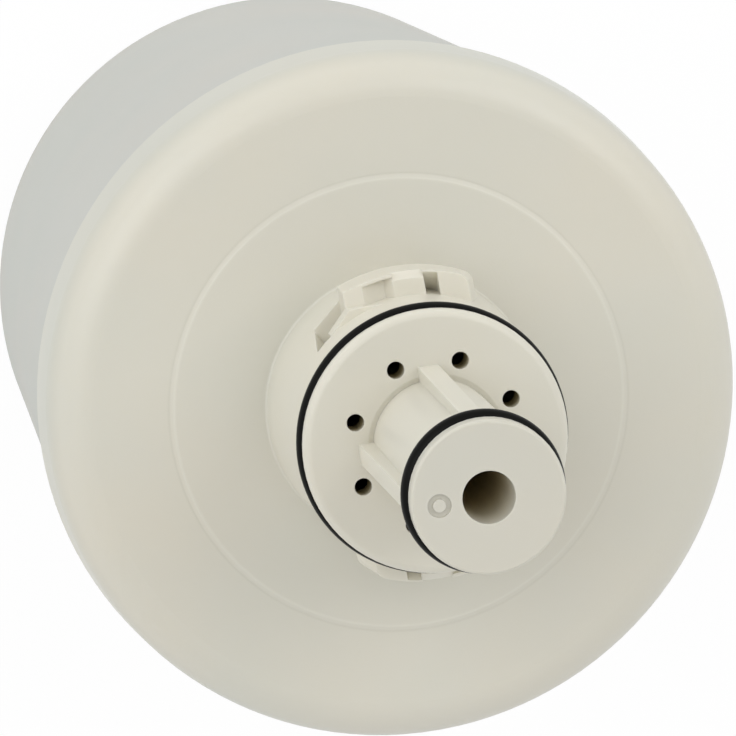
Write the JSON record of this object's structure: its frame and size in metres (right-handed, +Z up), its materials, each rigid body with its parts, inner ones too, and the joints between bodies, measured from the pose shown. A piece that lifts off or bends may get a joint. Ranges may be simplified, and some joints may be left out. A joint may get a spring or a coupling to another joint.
{
  "type": "fridge water filter cartridge",
  "caption": "Short round twist-in water filter cartridge: a closed plastic body with a welded cap, a bayonet neck, a ring of inlet holes and a ribbed outlet nozzle with rubber seals.",
  "frame": {"origin": "centre of the closed base, on the surface that the cartridge stands on", "axes": "+Z up along the cartridge's axis towards the nozzle, one set of bayonet teeth at +Y and the other at -Y"},
  "size_m": [0.0728, 0.0728, 0.1295],
  "materials": {
    "body_plastic": "fine matt moulding, cool grey-white",
    "head_plastic": "fine matt moulding, cream",
    "seal_rubber": "smooth black rubber",
    "carbon": "porous black carbon",
    "wrap_felt": "white felted sleeve",
    "end_cap_plastic": "plain white moulding"
  },
  "bodies": {
    "root": {"sump": "body_plastic", "head": "head_plastic", "inlet_seal": "seal_rubber", "outlet_seal": "seal_rubber", "spigot_seal": "seal_rubber", "carbon_block": "carbon", "prefilter_wrap": "wrap_felt", "upper_end_cap": "end_cap_plastic", "lower_end_cap": "end_cap_plastic"}
  },
  "joints": []
}
